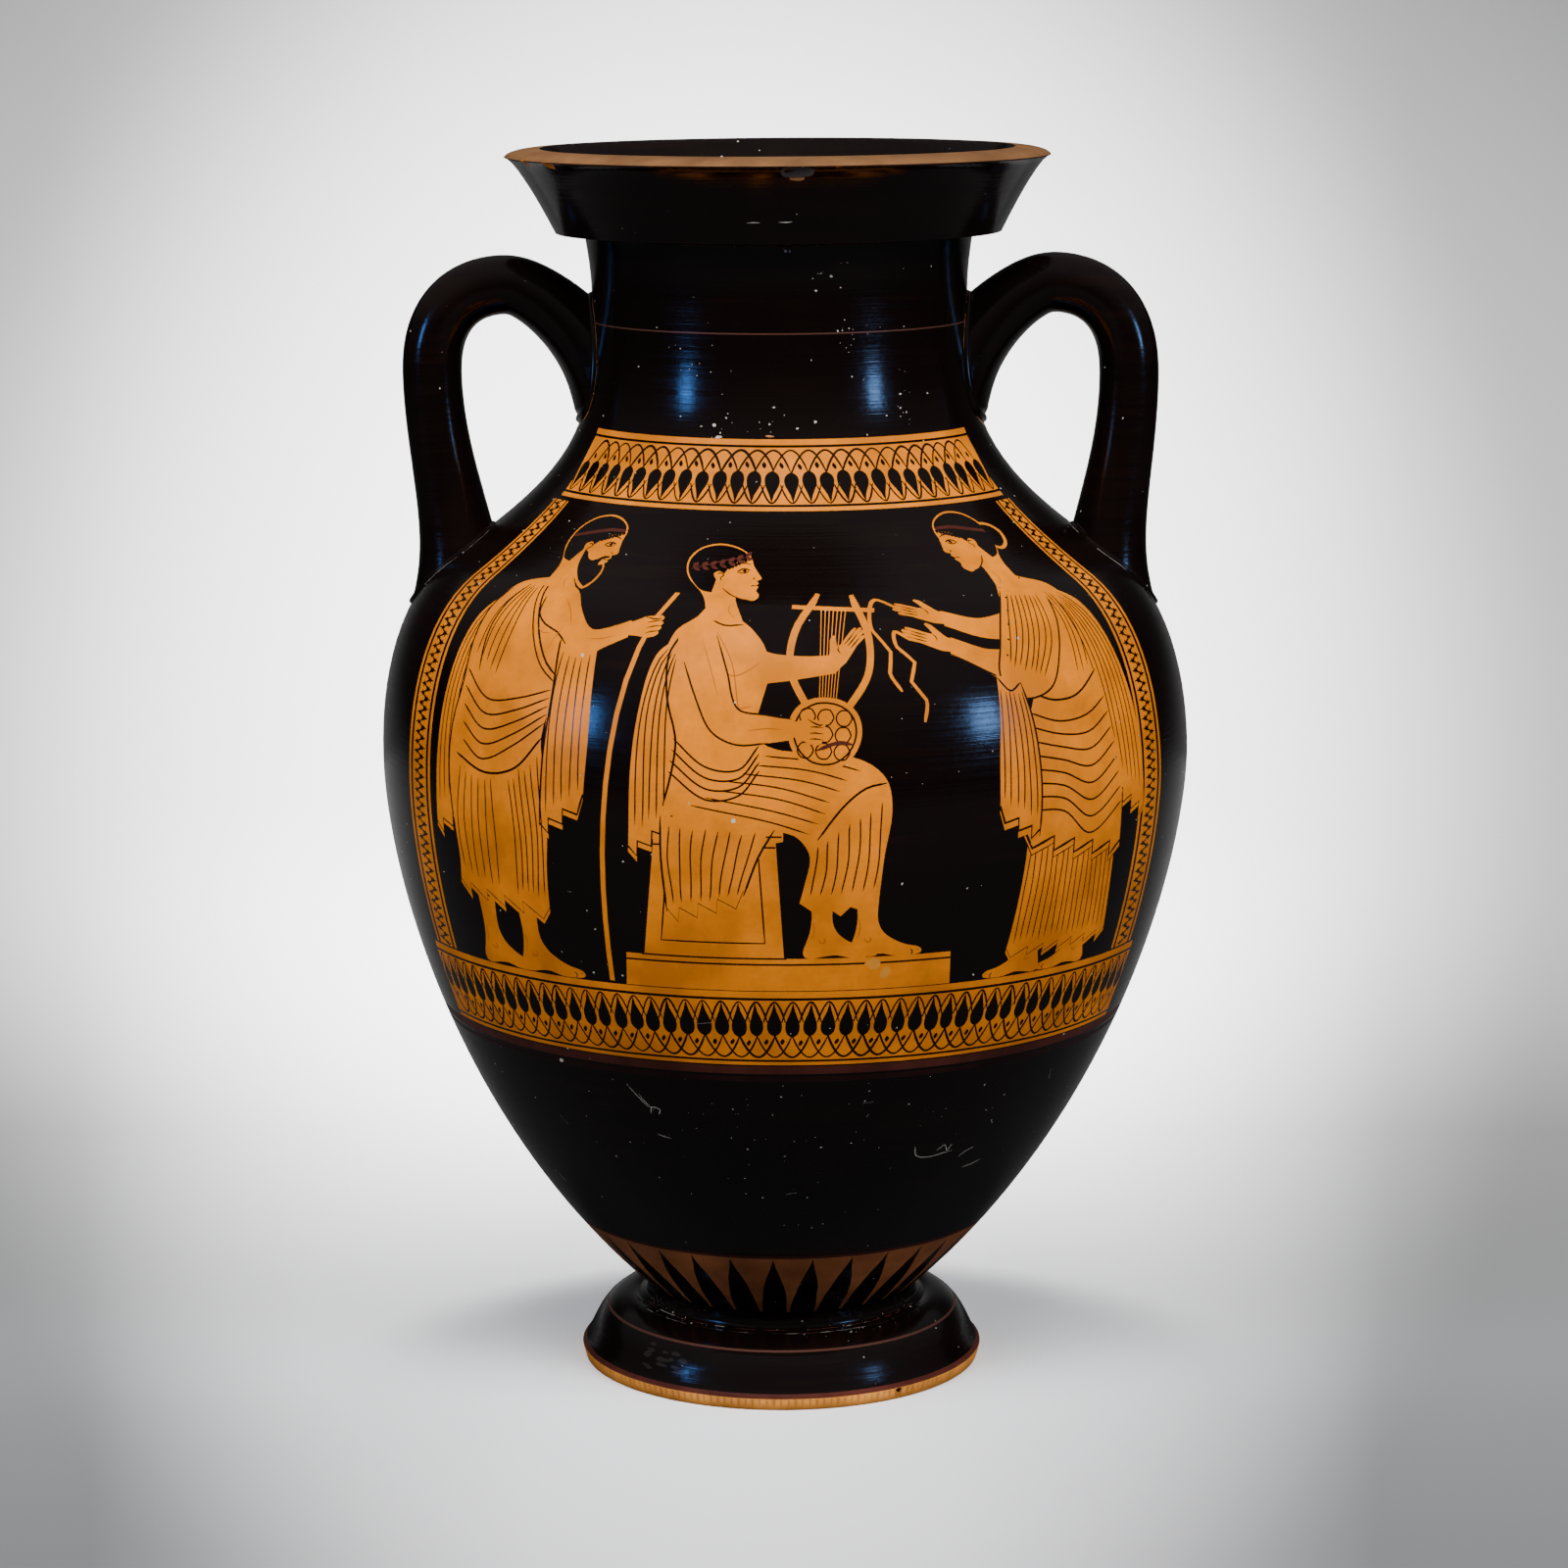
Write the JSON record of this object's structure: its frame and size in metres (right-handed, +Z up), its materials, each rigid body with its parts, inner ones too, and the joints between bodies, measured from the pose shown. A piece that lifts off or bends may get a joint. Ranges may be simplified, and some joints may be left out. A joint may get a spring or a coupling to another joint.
{
  "type": "red-figure amphora",
  "caption": "Large ancient storage jar with a flaring lip, round handles from neck to shoulder and a low foot, with a framed red-figure picture on black gloss.",
  "frame": {"origin": "centre of the foot's underside, on the surface that the vessel stands on", "axes": "+Z up along the vessel's axis, +X to the right handle, -Y to the main picture"},
  "size_m": [0.3938, 0.3938, 0.6],
  "materials": {
    "black_gloss_clay": "black gloss slip over orange-red fired clay, with the picture and ornament left in the clay's colour"
  },
  "bodies": {
    "root": {"amphora": "black_gloss_clay"}
  },
  "joints": []
}
